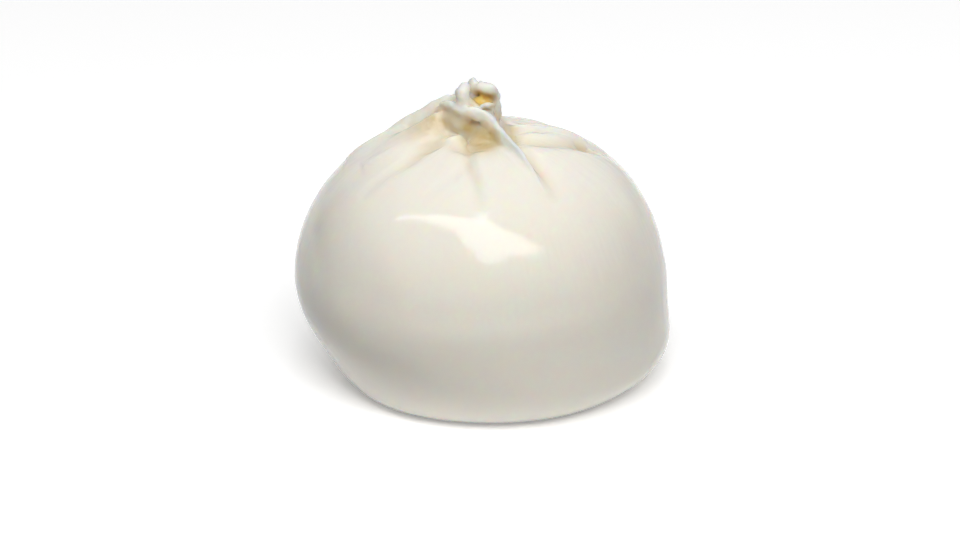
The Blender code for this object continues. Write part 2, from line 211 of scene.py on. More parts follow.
def meshObject(name, verts, edges=(), faces=(), **attributes):
    mesh = bpy.data.meshes.new(name)
    mesh.from_pydata([tuple(v) for v in verts], list(edges), list(faces))
    for label, values in attributes.items():
        mesh.attributes.new(label, "FLOAT", "POINT").data.foreach_set("value", values)
    obj = bpy.data.objects.new(name, mesh)
    scene.collection.objects.link(obj)
    return obj


def polyline(name, points, **attributes):
    edges = [(k, k + 1) for k in range(len(points) - 1)]
    return meshObject(name, points, edges, **attributes)


def smoothPath(corners, step):   # Catmull-Rom, as pairs of a point and its place among the corners
    points = []
    last = len(corners) - 1
    for start in range(last):
        before = corners[max(start - 1, 0)]
        first = corners[start]
        second = corners[start + 1]
        after = corners[min(start + 2, last)]
        count = max(2, round((second - first).length / step))
        for k in range(count + (start == last - 1)):
            t = k / count
            point = 0.5 * (2 * first + (second - before) * t
                           + (2 * before - 5 * first + 4 * second - after) * t ** 2
                           + (3 * first - before - 3 * second + after) * t ** 3)
            points.append((point, start + t))
    return points


def atPlace(values, place):
    first = min(int(place), len(values) - 2)
    return values[first] + (values[first + 1] - values[first]) * (place - first)


# the skin: a sagging ball gathered up into a neck; sizes in mm, angles in degrees

ball = {
    "halfWidth": 46.6,
    "widestHeight": 25.0,
    "domeHeight": 62.2,       # where the crown would close without its neck
    "restRadius": 34.0,       # half of the flat base
    "crownPower": 1.8,        # how flat the crown is on top, 2 is an ellipse
    "shoulderPower": 2.9,     # how full its shoulders are
    "heelShift": 4.4,         # low down it bulges this far to the right
    "heelHeight": 5.0,
    "heelSpread": 12.0,
    "footSpread": 8.0,        # height that the foot's own bulges fade over
    "footFade": 2.0,          # how fast they fade towards the middle of the base
    "segments": 352,          # points round each ring
    "baseRings": 5,
    "cornerRings": 30,
    "crownRings": 112,
    "weldWithin": 0.001,
}

neck = {
    "crownEdge": 13.5,
    "crownLead": 16.0,        # the neck's curve starts in line with the crown out here
    # radius, height, share of the cone behind, share of the lip's lobes
    "outline": [(10.8, 61.7, 0.2, 0.0), (8.6, 61.1, 0.6, 0.0), (6.8, 60.2, 1.0, 0.0),
                (5.5, 61.4, 1.0, 0.0), (4.9, 64.0, 0.6, 0.0), (4.7, 66.8, 0.1, 0.1),
                (5.0, 69.0, 0.0, 0.45), (4.6, 70.8, 0.0, 0.9), (3.7, 71.4, 0.0, 1.0),
                (2.8, 70.2, 0.0, 0.75), (1.9, 69.0, 0.0, 0.3), (0.9, 68.4, 0.0, 0.0)],
    "step": 0.32,             # spacing of the rings
    "foot": 2,                # corner at the foot of the wall
    "top": 6,                 # corner at its top
    "lip": 8,                 # corner on the lip
    "coneRise": 3.8,          # the low cone of skin behind the neck
    "coneStart": 60.0,
    "coneFull": 120.0,
    "pleats": 9,              # fine upright pleats on the wall
    "pleatDepth": 0.55,
    "pleatTwist": 0.9,        # radians from foot to top
    "pleatFade": 2.0,         # how fast they fade inside the neck
    "broadPleats": 4,         # broad ones mixed in with them
    "broadShare": 0.6,
    "broadPhase": 1.0,
    "gatherPower": 1.5,       # how hollow a gather's slope is
    "blendPower": 3.0,        # how sharply neighbouring gathers meet
}

# azimuth, half-width, rise at the neck, reach from the centre line
gathers = [(-113, 3.9, 11.0, 29), (-84, 3.1, 8.4, 27), (-139, 2.3, 5.0, 23), (-162, 2.0, 4.2, 20),
           (174, 2.5, 5.2, 23), (147, 2.0, 4.4, 20), (117, 2.0, 3.2, 19), (-44, 2.8, 3.4, 17)]

# azimuth, spread, rise, outward curl
lipLobes = [(-82, 24, 3.2, 0.4), (-136, 18, 1.8, 0.5), (176, 24, 3.7, 0.5), (126, 18, 2.2, 0.2),
            (76, 26, 2.4, -0.9), (-38, 20, 1.2, 0.3), (18, 26, -1.6, 0.0)]
footLobes = [(-38, 24, 0.0, 1.1), (50, 24, 0.0, -0.9)]


def crownHeight(radius):
    inside = 1.0 - min(1.0, radius / ball["halfWidth"]) ** ball["shoulderPower"]
    rise = ball["domeHeight"] - ball["widestHeight"]
    return ball["widestHeight"] + rise * inside ** (1 / ball["crownPower"])


def centreX(height):
    return ball["heelShift"] * math.exp(-((height - ball["heelHeight"]) / ball["heelSpread"]) ** 2)


def onCrown(azimuth, radius, lift=0.0):
    turn = math.radians(azimuth)
    height = crownHeight(radius)
    across = centreX(height) + radius * math.sin(turn)
    return Vector((across, -radius * math.cos(turn), height + lift))


def skinOutline():            # rows of radius, height, cone share, lip share
    base = ball["restRadius"]
    rows = [(base * k / ball["baseRings"], 0.0, 0.0, 0.0) for k in range(ball["baseRings"] + 1)]
    for k in range(1, ball["cornerRings"] + 1):
        turn = math.pi / 2 * k / ball["cornerRings"]
        reach = (ball["halfWidth"] - base) * math.sin(turn)
        rows.append((base + reach, ball["widestHeight"] * (1 - math.cos(turn)), 0.0, 0.0))
    edgeShare = neck["crownEdge"] / ball["halfWidth"]
    edgeTurn = math.acos(edgeShare ** (ball["shoulderPower"] / 2))
    for k in range(1, ball["crownRings"] + 1):
        turn = edgeTurn * k / ball["crownRings"]
        radius = ball["halfWidth"] * math.cos(turn) ** (2 / ball["shoulderPower"])
        rows.append((radius, crownHeight(radius), 0.0, 0.0))
    corners = [Vector((radius, crownHeight(radius), 0.0, 0.0))
               for radius in (neck["crownLead"], neck["crownEdge"])]
    corners += [Vector(row) for row in neck["outline"]]
    rows += [tuple(point) for point, place in smoothPath(corners, neck["step"]) if place > 1.0]
    rows.append((0.0, rows[-1][1], 0.0, 0.0))
    return rows


def lobeGroup():              # one bulge round an azimuth
    names = ("Azimuth", "Middle", "Spread", "Up", "Out")
    inputs = [(name, "NodeSocketFloat", 0.0) for name in names]
    tree, given, out = newTree("bulge", "GeometryNodeTree", inputs,
                               [("Rise", "NodeSocketFloat"), ("Curl", "NodeSocketFloat")])
    apart = calc(tree, "SUBTRACT", given["Azimuth"], given["Middle"])
    share = bell(tree, calc(tree, "WRAP", apart, 180.0, -180.0), given["Spread"])
    connect(tree, times(tree, share, given["Up"]), out["Rise"])
    connect(tree, times(tree, share, given["Out"]), out["Curl"])
    return tree


def gatherGroup():            # one pleat that climbs from the crown to the knot
    names = ("Radius", "Height", "Turn", "Azimuth", "Half Width", "Full Rise", "Reach",
             "Foot Radius", "Foot Height", "Lip Height", "Knot Radius", "Power")
    inputs = [(name, "NodeSocketFloat", 0.0) for name in names]
    tree, given, out = newTree("gather", "GeometryNodeTree", inputs, [("Rise", "NodeSocketFloat")])
    apart = calc(tree, "SUBTRACT", given["Turn"], calc(tree, "RADIANS", given["Azimuth"]))
    aside = times(tree, given["Radius"], calc(tree, "SINE", apart))
    across = bell(tree, aside, given["Half Width"])
    facing = calc(tree, "GREATER_THAN", calc(tree, "COSINE", apart), 0.0)
    left = calc(tree, "SUBTRACT", given["Reach"], given["Radius"])
    length = calc(tree, "SUBTRACT", given["Reach"], given["Foot Radius"])
    along = calc(tree, "DIVIDE", left, length, clamp=True)
    slope = calc(tree, "POWER", along, given["Power"])
    climb = calc(tree, "SUBTRACT", given["Lip Height"], given["Height"])
    fullClimb = calc(tree, "SUBTRACT", given["Lip Height"], given["Foot Height"])
    wall = calc(tree, "DIVIDE", climb, fullClimb, clamp=True)
    onWall = calc(tree, "LESS_THAN", given["Radius"], given["Foot Radius"])
    share = put(tree, "ShaderNodeMix", {"Factor": onWall, "A": slope, "B": wall}).outputs[0]
    outside = calc(tree, "GREATER_THAN", given["Radius"], given["Knot Radius"])
    rise = times(tree, share, across, given["Full Rise"])
    connect(tree, times(tree, rise, times(tree, facing, outside)), out["Rise"])
    return tree


def addLobes(tree, group, azimuth, rows):
    rise, curl = 0.0, 0.0
    for middle, spread, up, outward in rows:
        values = {"Azimuth": azimuth, "Middle": middle, "Spread": spread, "Up": up, "Out": outward}
        lobe = put(tree, "GeometryNodeGroup", values, node_tree=group).outputs
        rise = plus(tree, rise, lobe["Rise"])
        curl = plus(tree, curl, lobe["Curl"])
    return rise, curl


def addGathers(tree, given, start, radius, height, turn):
    footRadius, footHeight = neck["outline"][neck["foot"]][:2]
    shared = {"Radius": radius, "Height": height, "Turn": turn,
              "Foot Radius": footRadius, "Foot Height": footHeight,
              "Lip Height": neck["outline"][neck["lip"]][1],
              "Knot Radius": neck["outline"][neck["lip"] - 1][0], "Power": given["Gather Power"]}
    group = gatherGroup()
    powers = calc(tree, "POWER", start, given["Blend Power"])
    for aim, half, full, reach in gathers:
        values = {**shared, "Azimuth": aim, "Half Width": half, "Full Rise": full, "Reach": reach}
        gather = put(tree, "GeometryNodeGroup", values, node_tree=group)
        power = calc(tree, "POWER", gather.outputs["Rise"], given["Blend Power"])
        powers = plus(tree, powers, power)
    return calc(tree, "POWER", powers, calc(tree, "DIVIDE", 1.0, given["Blend Power"]))


def neckPleats(tree, given, radius, height, turn):
    footRadius, footHeight = neck["outline"][neck["foot"]][:2]
    topRadius, topHeight = neck["outline"][neck["top"]][:2]
    near = remap(tree, radius, footRadius, given["Crown Edge"], 1.0, 0.0, smooth=False)
    twist = remap(tree, height, footHeight, topHeight, 0.0, given["Pleat Twist"], smooth=False)
    fine = calc(tree, "SINE", times(tree, plus(tree, turn, twist), given["Pleats"]))
    broadTurn = calc(tree, "MULTIPLY_ADD", turn, given["Broad Pleats"], given["Broad Phase"])
    broad = times(tree, calc(tree, "SINE", broadTurn), given["Broad Share"])
    share = calc(tree, "DIVIDE", radius, topRadius, clamp=True)
    inner = calc(tree, "POWER", share, given["Pleat Fade"])
    wave = times(tree, plus(tree, fine, broad), times(tree, near, inner))
    return times(tree, wave, given["Pleat Depth"])


def skinTree():               # turns the outline's rows into rings, and shapes them
    inputs = namedInputs(ball, "segments", "heelShift", "heelHeight", "heelSpread",
                         "widestHeight", "restRadius", "footSpread", "footFade", "weldWithin")
    inputs += namedInputs(neck, "crownEdge", "coneRise", "coneStart", "coneFull", "pleats",
                          "pleatDepth", "pleatTwist", "pleatFade", "broadPleats", "broadShare",
                          "broadPhase", "gatherPower", "blendPower")
    tree, given, out = newShapeTree("pleatedSkin", inputs)
    size = put(tree, "GeometryNodeAttributeDomainSize", {"Geometry": given["Geometry"]})
    rings = size.outputs["Point Count"]
    columns = plus(tree, given["Segments"], 1.0)
    grid = put(tree, "GeometryNodeMeshGrid", {"Vertices X": columns, "Vertices Y": rings})
    index = put(tree, "GeometryNodeInputIndex").outputs[0]
    ring = calc(tree, "MODULO", index, rings)
    column = calc(tree, "FLOOR", calc(tree, "DIVIDE", plus(tree, index, 0.5), rings))
    share = calc(tree, "SUBTRACT", calc(tree, "DIVIDE", column, given["Segments"]), 0.5)
    turn = times(tree, share, 2 * math.pi)
    azimuth = calc(tree, "DEGREES", turn)

    def fromOutline(value, kind="FLOAT"):
        values = {"Geometry": given["Geometry"], "Value": value, "Index": ring}
        return put(tree, "GeometryNodeSampleIndex", values, data_type=kind).outputs[0]

    here = put(tree, "GeometryNodeInputPosition").outputs[0]
    row = axes(tree, fromOutline(here, "FLOAT_VECTOR"))
    radius, height = row["X"], row["Z"]
    cone = fromOutline(readAttribute(tree, "coneShare"))
    lip = fromOutline(readAttribute(tree, "lipShare"))

    bulge = lobeGroup()
    rise, curl = addLobes(tree, bulge, azimuth, lipLobes)
    behind = remap(tree, calc(tree, "ABSOLUTE", azimuth), given["Cone Start"], given["Cone Full"],
                   0.0, given["Cone Rise"])
    climb = addGathers(tree, given, times(tree, behind, cone), radius, height, turn)
    upper = calc(tree, "GREATER_THAN", height, given["Widest Height"])
    pleat = times(tree, neckPleats(tree, given, radius, height, turn), upper)

    foot = addLobes(tree, bulge, azimuth, footLobes)[1]
    outer = calc(tree, "DIVIDE", radius, given["Rest Radius"], clamp=True)
    outer = calc(tree, "POWER", outer, given["Foot Fade"])
    foot = times(tree, foot, times(tree, outer, bell(tree, height, given["Foot Spread"])))

    reach = plus(tree, calc(tree, "MULTIPLY_ADD", lip, curl, radius), plus(tree, pleat, foot))
    lift = calc(tree, "MULTIPLY_ADD", lip, rise, times(tree, climb, upper))
    apart = calc(tree, "SUBTRACT", height, given["Heel Height"])
    middle = times(tree, bell(tree, apart, given["Heel Spread"]), given["Heel Shift"])
    across = calc(tree, "MULTIPLY_ADD", reach, calc(tree, "SINE", turn), middle)
    depth = times(tree, reach, -1.0, calc(tree, "COSINE", turn))
    point = fromAxes(tree, across, depth, plus(tree, height, lift))
    placed = movePoints(tree, grid.outputs["Mesh"], Position=scaled(tree, point, mm))
    within = times(tree, given["Weld Within"], mm)
    closed = put(tree, "GeometryNodeMergeByDistance", {"Geometry": placed, "Distance": within})
    facing = put(tree, "GeometryNodeInputNormal").outputs[0]
    kept = storeAttribute(tree, closed.outputs[0], "plainPlace", here, "FLOAT_VECTOR")
    kept = storeAttribute(tree, kept, "plainNormal", facing, "FLOAT_VECTOR")
    kept = put(tree, "GeometryNodeSetShadeSmooth", {"Geometry": kept}).outputs[0]
    finishTree(tree, kept, given["Material"], out["Geometry"])
    return tree


def makeSkin():
    rows = skinOutline()
    skin = meshObject("outline", [(row[0], 0.0, row[1]) for row in rows],
                      coneShare=[row[2] for row in rows], lipShare=[row[3] for row in rows])
    addNodes(skin, skinTree(), {})
    bake(skin, "burrata_skin")
    print("skin gathered:", len(skin.data.vertices), "points")
    return skin


# folds pressed into the skin along paths of azimuth, radius and lift off the crown;
# a rise below 0 is a crease, and its last entry is how much painted shade, darker and warmer, the
# fold lays along its strip

frontFolds = {
    "pocket": dict(
        path=[(-10, 7.0), (2, 8.5), (14, 11.0)], rise=-0.9, width=3.0, warm=0.35),
    "centreCrease": dict(
        path=[(-16, 8), (-12, 13), (-6, 20), (-1, 27), (1, 33)], rise=-1.1, width=1.6, warm=0.08),
    "branchCrease": dict(
        path=[(-10, 17), (-14, 23), (-26, 32)], rise=-0.4, width=1.6),
    "leftArc": dict(
        path=[(-22, 12), (-46, 12.5), (-53, 17), (-50, 24), (-56, 35)],
        rise=-1.0, width=2.1, warm=0.15),
    "leftRidge": dict(
        path=[(-84, 8), (-72, 13), (-70, 21), (-74, 30)], rise=1.0, width=2.8),
    "leftValley": dict(
        path=[(-92, 7.6, 6.5), (-66, 7.0, 5.5), (-38, 6.6, 3.6), (-10, 7.4, 1.0)],
        rise=-1.3, width=1.9, warm=0.5),
    "strandRidge": dict(
        path=[(26, 9.5), (27, 14), (29, 19), (31, 29)], rise=1.1, width=2.2),
    "strandValley": dict(
        path=[(62, 9), (44, 16), (37, 24), (35, 33)], rise=-1.3, width=2.0, warm=0.2),
    "rightValley": dict(
        path=[(130, 8.5), (92, 8.5), (60, 9)], rise=-1.3, width=2.4, warm=0.4),
    "rightCrease": dict(
        path=[(61, 9), (73, 15.5), (87, 22), (100, 28), (108, 36)],
        rise=-0.9, width=2.6, warm=0.3),
    "rightDimple": dict(
        path=[(92, 25), (100, 29)], rise=-1.3, width=2.8, warm=0.55),
    "rightHump": dict(
        path=[(108, 15), (110, 21), (106, 28)], rise=1.0, width=4.2),
    "leftSwell": dict(
        path=[(-104, 17), (-102, 24), (-99, 34)], rise=1.5, width=5.0),
}

backFolds = {
    "count": 8,
    "start": 112.0,
    "end": 250.0,
    "scatter": 0.25,          # share of the spacing
    "lean": 12.0,
    "inner": 6.0,
    "bend": 13.0,             # radius of the middle corner
    "bendShare": 0.3,         # how much of the lean it has
    "reach": (24.0, 38.0),
    "depth": (0.9, 1.6),
    "width": (1.8, 2.6),
    "seed": 7,
}

foldPress = {
    "step": 0.8,              # spacing of the path's points
    "startShare": 0.12,       # strength at the inner end
    "fade": 0.7,              # how bluntly a fold fades at its ends
    "reach": 3.0,             # in widths from the path
}


def spreadBackFolds():
    draw = random.Random(backFolds["seed"])
    scatter = backFolds["scatter"]
    spacing = (backFolds["end"] - backFolds["start"]) / (backFolds["count"] - 1)
    folds = {}
    for k in range(backFolds["count"]):
        azimuth = backFolds["start"] + spacing * (k + draw.uniform(-scatter, scatter))
        lean = draw.uniform(-backFolds["lean"], backFolds["lean"])
        path = [(azimuth, backFolds["inner"]),
                (azimuth + lean * backFolds["bendShare"], backFolds["bend"]),
                (azimuth + lean, draw.uniform(*backFolds["reach"]))]
        rise = -draw.uniform(*backFolds["depth"])
        width = draw.uniform(*backFolds["width"])
        folds["backCrease%d" % (k + 1)] = dict(path=path, rise=rise, width=width)
    return folds


def foldTree():
    inputs = [("Path", "NodeSocketObject", None), ("Rise", "NodeSocketFloat", 0.0),
              ("Width", "NodeSocketFloat", 2.0), ("Warm", "NodeSocketFloat", 0.0)]
    inputs += namedInputs(foldPress, "reach") + namedInputs(ball, "widestHeight")
    tree, given, out = newShapeTree("foldAlongPath", inputs)
    path = put(tree, "GeometryNodeObjectInfo", {"Object": given["Path"]}).outputs["Geometry"]
    place = readAttribute(tree, "plainPlace", "FLOAT_VECTOR")
    normal = readAttribute(tree, "plainNormal", "FLOAT_VECTOR")
    sample = {"Geometry": path, "Sample Position": place}
    near = put(tree, "GeometryNodeProximity", sample, target_element="EDGES")
    point = put(tree, "GeometryNodeSampleNearest", sample, domain="POINT").outputs[0]
    strength = put(tree, "GeometryNodeSampleIndex", {
        "Geometry": path, "Value": readAttribute(tree, "strength"), "Index": point}).outputs[0]
    distance = near.outputs["Distance"]
    width = times(tree, given["Width"], mm)
    within = calc(tree, "LESS_THAN", distance, times(tree, width, given["Reach"]))
    lowest = times(tree, given["Widest Height"], mm)
    above = calc(tree, "GREATER_THAN", axes(tree, place)["Z"], lowest)
    share = times(tree, bell(tree, distance, width), strength, times(tree, within, above))
    push = scaled(tree, normal, times(tree, share, given["Rise"], mm))
    moved = movePoints(tree, given["Geometry"], Offset=push)
    # painted shade laid along the fold, added to what is already painted there
    warm = calc(tree, "MULTIPLY_ADD", share, given["Warm"], readAttribute(tree, "warm"))
    moved = storeAttribute(tree, moved, "warm", warm)
    finishTree(tree, moved, given["Material"], out["Geometry"])
    return tree


def pressFolds(skin):
    tree = foldTree()
    start = foldPress["startShare"]
    guides = []
    for name, fold in {**frontFolds, **spreadBackFolds()}.items():
        corners = [onCrown(*corner) for corner in fold["path"]]
        points = smoothPath(corners, foldPress["step"])
        strengths = []
        for point, place in points:
            along = min(1.0, start + (1 - start) * place / (len(corners) - 1))
            strengths.append(math.sin(math.pi * along) ** foldPress["fade"])
        guide = polyline(name, [point * mm for point, place in points], strength=strengths)
        guides.append(guide)
        addNodes(skin, tree, {"Path": guide, "Rise": fold["rise"], "Width": fold["width"],
                              "Warm": fold.get("warm", 0.0)})
    bake(skin, "burrata_skin")
    for guide in guides:
        bpy.data.objects.remove(guide)
    print("folds pressed:", len(guides))


# lobes of skin: the strand that wraps the neck and runs down the front, and the knot's curls;
# half is half the width at each corner, and skirt is how far the under side is drawn down

lobes = {
    "strand": dict(
        path=[(-10.2, 2.2, 66.8), (-8.3, -0.2, 69.2), (-5.9, -3.3, 69.8), (-3.5, -5.2, 69.5),
              (-0.8, -6.1, 69.4), (1.8, -6.7, 68.5), (4.2, -8.7, 66.5), (6.8, -12.0, 64.6),
              (9.4, -15.8, 62.8), (12.2, -20.3, 60.1), (15.4, -25.3, 55.8)],
        half=[1.2, 1.4, 1.4, 1.4, 1.5, 1.15, 0.8, 0.7, 0.65, 0.55, 0.4], flat=0.75,
        skirt=[1.0, 1.2, 1.4, 1.6, 1.8, 2.4, 4.4, 4.8, 3.6, 2.4, 1.0]),
    "throat": dict(
        path=[(-0.5, -3.0, 68.5), (0.0, -4.6, 65.8), (1.2, -6.5, 63.2), (2.0, -9.0, 60.8),
              (2.5, -11.5, 59.5)],
        half=[3.6, 3.8, 4.8, 5.2, 4.6], flat=0.4),
    "hollowFloor": dict(
        path=[(-1.0, -1.2, 70.6), (0.6, -1.6, 70.9), (2.2, -1.2, 70.6)],
        half=[1.5, 1.7, 1.5], flat=0.8),
    "rightWeb": dict(
        path=[(3.2, -0.2, 61.0), (4.2, -3.2, 60.6), (4.0, -6.6, 60.4)],
        half=[2.8, 3.4, 3.2], flat=0.85),
    "leftWeb": dict(
        path=[(-10.0, 1.4, 65.8), (-7.4, -1.8, 66.2), (-4.6, -3.6, 65.8), (-1.6, -4.8, 64.6)],
        half=[1.8, 2.4, 2.7, 2.6], flat=0.7),
    "leftNodule": dict(
        path=[(-3.2, -2.8, 69.0), (-4.0, -3.5, 71.6), (-4.0, -2.9, 73.7), (-3.3, -1.5, 75.0)],
        half=[1.5, 1.7, 1.7, 1.2], flat=0.9),
    "topNub": dict(
        path=[(-1.3, 1.4, 71.2), (-1.4, 1.2, 74.0), (-1.6, 0.6, 75.8)],
        half=[2.0, 1.7, 0.9], flat=0.9),
    "rightLobe": dict(
        path=[(-0.8, -0.2, 73.9), (0.9, -1.5, 74.0), (2.4, -1.6, 73.7), (3.1, -1.0, 72.3),
              (2.8, -1.2, 70.2)],
        half=[1.4, 1.7, 1.8, 1.6, 1.2], flat=0.9),
    "knotRoof": dict(
        path=[(-1.0, 1.6, 72.0), (1.0, 1.5, 72.8), (2.6, 1.0, 72.2)],
        half=[1.8, 2.1, 1.8], flat=0.9),
    "rightHeel": dict(
        path=[(0.6, -4.6, 70.6), (2.2, -4.6, 70.7), (3.4, -3.2, 70.4)],
        half=[0.7, 0.9, 0.8], flat=0.9),
    "backNub": dict(
        path=[(0.6, 3.4, 66.4), (1.3, 4.4, 70.0), (0.5, 3.6, 73.0)],
        half=[1.4, 1.7, 1.1], flat=0.8),
}

lobeShape = {
    "sides": 28,
    "step": 0.3,              # mm between rings
    "endLength": 0.9,         # length of a round end, in half-widths
    "endRings": 6,
    "tip": 0.15,              # least share of the half-width, at the very end
}


def lobeTree():               # a tube along a path, flattened front to back, with its skirt
    inputs = namedInputs(lobeShape, "sides") + [("Flat", "NodeSocketFloat", 1.0)]
    tree, given, out = newShapeTree("skinLobe", inputs)
    curve = put(tree, "GeometryNodeMeshToCurve", {"Mesh": given["Geometry"]}).outputs[0]
    here = put(tree, "GeometryNodeInputPosition").outputs[0]
    tangent = put(tree, "GeometryNodeInputTangent").outputs[0]
    curve = storeAttribute(tree, curve, "middle", here, "FLOAT_VECTOR")
    curve = storeAttribute(tree, curve, "along", tangent, "FLOAT_VECTOR")
    circle = put(tree, "GeometryNodeCurvePrimitiveCircle",
                 {"Resolution": given["Sides"], "Radius": 1.0}).outputs[0]
    tube = put(tree, "GeometryNodeCurveToMesh", {
        "Curve": curve, "Profile Curve": circle, "Scale": readAttribute(tree, "half"),
        "Fill Caps": True}).outputs[0]
    middle = readAttribute(tree, "middle", "FLOAT_VECTOR")
    along = readAttribute(tree, "along", "FLOAT_VECTOR")
    back = (0.0, 1.0, 0.0)
    slant = scaled(tree, along, vectorCalc(tree, "DOT_PRODUCT", back, along))
    side = vectorCalc(tree, "NORMALIZE", vectorCalc(tree, "SUBTRACT", back, slant))
    offset = vectorCalc(tree, "SUBTRACT", here, middle)
    squeeze = times(tree, vectorCalc(tree, "DOT_PRODUCT", offset, side),
                    calc(tree, "SUBTRACT", given["Flat"], 1.0))
    offset = vectorCalc(tree, "ADD", offset, scaled(tree, side, squeeze))
    parts = axes(tree, offset)
    under = times(tree, calc(tree, "MINIMUM", parts["Z"], 0.0), readAttribute(tree, "skirt"))
    height = plus(tree, calc(tree, "MAXIMUM", parts["Z"], 0.0), under)
    shaped = fromAxes(tree, parts["X"], parts["Y"], height)
    moved = movePoints(tree, tube, Position=vectorCalc(tree, "ADD", middle, shaped))
    moved = put(tree, "GeometryNodeSetShadeSmooth", {"Geometry": moved}).outputs[0]
    finishTree(tree, moved, given["Material"], out["Geometry"])
    return tree


def lobeGuide(name, lobe):
    corners = [Vector(corner) for corner in lobe["path"]]
    skirts = lobe.get("skirt", [1.0] * len(corners))
    rings = [(point, atPlace(lobe["half"], place), atPlace(skirts, place))
             for point, place in smoothPath(corners, lobeShape["step"])]
    for end, inner in ((0, 1), (-1, -2)):     # a round end stands out past the path's own end
        full = lobe["half"][end]
        outwards = (corners[end] - corners[inner]).normalized() * full * lobeShape["endLength"]
        for k in range(1, lobeShape["endRings"] + 1):
            turn = math.pi / 2 * k / lobeShape["endRings"]
            half = full * max(lobeShape["tip"], math.cos(turn))
            ring = (corners[end] + outwards * math.sin(turn), half, 1.0)
            rings.insert(0 if end == 0 else len(rings), ring)
    points, halves, skirts = zip(*rings)
    return polyline(name, [point * mm for point in points],
                    half=[half * mm for half in halves], skirt=skirts)


def makeLobes():
    tree = lobeTree()
    group = bpy.data.collections.new("lobes")
    scene.collection.children.link(group)
    for name, lobe in lobes.items():
        piece = lobeGuide(name, lobe)
        scene.collection.objects.unlink(piece)
        group.objects.link(piece)
        addNodes(piece, tree, {"Flat": lobe["flat"]})
        bake(piece, name)
    print("lobes made:", len(lobes))
    return group


# the union of skin and lobes, with its seams softened like skin that has fused

fusing = {
    "seamReach": 1.5,         # mm from a seam that is softened
    "seamFull": 0.6,          # weight that is fully softened, 1 is the seam itself
    "seamRounds": 26,
    "sliver": 0.005,          # mm, shorter edges are closed
    "keyScale": 1e6,          # points are told apart to the nearest micrometre
}


def pointKey(vert):
    return tuple(round(c * fusing["keyScale"]) for c in vert.co)


def fuseLobes(skin, group):
    originals = {pointKey(vert) for obj in [skin, *group.objects] for vert in obj.data.vertices}
    union = skin.modifiers.new("fuse", "BOOLEAN")
    union.operation = "UNION"
    union.operand_type = "COLLECTION"
    union.collection = group
    union.solver = "MANIFOLD"
    bake(skin, "burrata_fused")
    for obj in list(group.objects):
        bpy.data.objects.remove(obj)
    bpy.data.collections.remove(group)
    shape = bmesh.new()
    shape.from_mesh(skin.data)
    bmesh.ops.poke(shape, faces=[face for face in shape.faces if len(face.verts) > 4])
    bmesh.ops.triangulate(shape, faces=[face for face in shape.faces if len(face.verts) > 3])
    closeSlivers(shape)
    keepLargest(shape)
    seam = [vert.co.copy() for vert in shape.verts if pointKey(vert) not in originals]
    nearest = KDTree(len(seam))
    for index, point in enumerate(seam):
        nearest.insert(point, index)
    nearest.balance()
    weights = []
    for vert in shape.verts:
        distance = nearest.find(vert.co)[2] / mm
        weights.append(max(0.0, 1.0 - distance / fusing["seamReach"]))
    shape.to_mesh(skin.data)
    shape.free()
    skin.data.attributes.new("seam", "FLOAT", "POINT").data.foreach_set("value", weights)
    print("fused:", len(skin.data.vertices), "points,", len(seam), "on seams")


def closeSlivers(shape):
    limit = fusing["sliver"] * mm
    short = [edge for edge in shape.edges if edge.calc_length() < limit]
    closing = True
    while closing:            # each round closes short edges that lie clear of each other
        targets = {}
        touched = set()
        for edge in short:
            first, second = edge.verts
            aroundFirst = {link.other_vert(first) for link in first.link_edges}
            aroundSecond = {link.other_vert(second) for link in second.link_edges}
            around = aroundFirst | aroundSecond
            if len(aroundFirst & aroundSecond) == 2 and not around & touched:
                targets[first] = second
                touched |= around
        closing = bool(targets)
        bmesh.ops.weld_verts(shape, targetmap=targets)
        short = [edge for edge in short if edge.is_valid and edge.calc_length() < limit]


def keepLargest(shape):       # drops the loose shells that a union can leave
    unseen = set(shape.faces)
    shells = []
    while unseen:
        waiting = [unseen.pop()]
        shell = list(waiting)
        while waiting:
            for edge in waiting.pop().edges:
                for face in edge.link_faces:
                    if face in unseen:
                        unseen.remove(face)
                        waiting.append(face)
                        shell.append(face)
        shells.append(shell)
    shells.sort(key=len)
    for shell in shells[:-1]:
        bmesh.ops.delete(shape, geom=shell, context="FACES")


# relief on the fused shape: softened seams, broad dents, radial fibres, a crumpled knot

relief = {
    "dentHeight": 0.30,       # mm
    "dentSize": 15.0,         # mm across
    "dentDetail": 1.0,
    "fibreHeight": 0.13,
    "fibresAround": 10.0,     # noise cells to a radius
    "fibreLength": 16.0,      # mm along the fibre
    "fibreDetail": 3.0,
    "fibreRagged": 0.6,
    "fibreInner": 10.0,       # radii between which they grow in and fade out
    "fibreInnerFull": 17.0,
    "fibreOuterFull": 30.0,
    "fibreOuter": 46.0,
    "fibreFoot": 25.0,        # heights between which they grow in
    "fibreFootFull": 40.0,
    "crumpleHeight": 0.32,
    "crumpleSize": 2.6,
    "crumpleDetail": 2.0,
    "crumpleFoot": 60.0,      # height above which the knot is crumpled
    "crumpleFull": 66.0,
    "cleanBase": 0.5,         # the base stays smooth up to here
    "cleanFoot": 6.0,         # and all relief is there from here
    "hollowRounds": 24,       # how far the hollow mask looks round a point
    "hollowDepth": 0.35,      # mm that counts as fully hollow
}
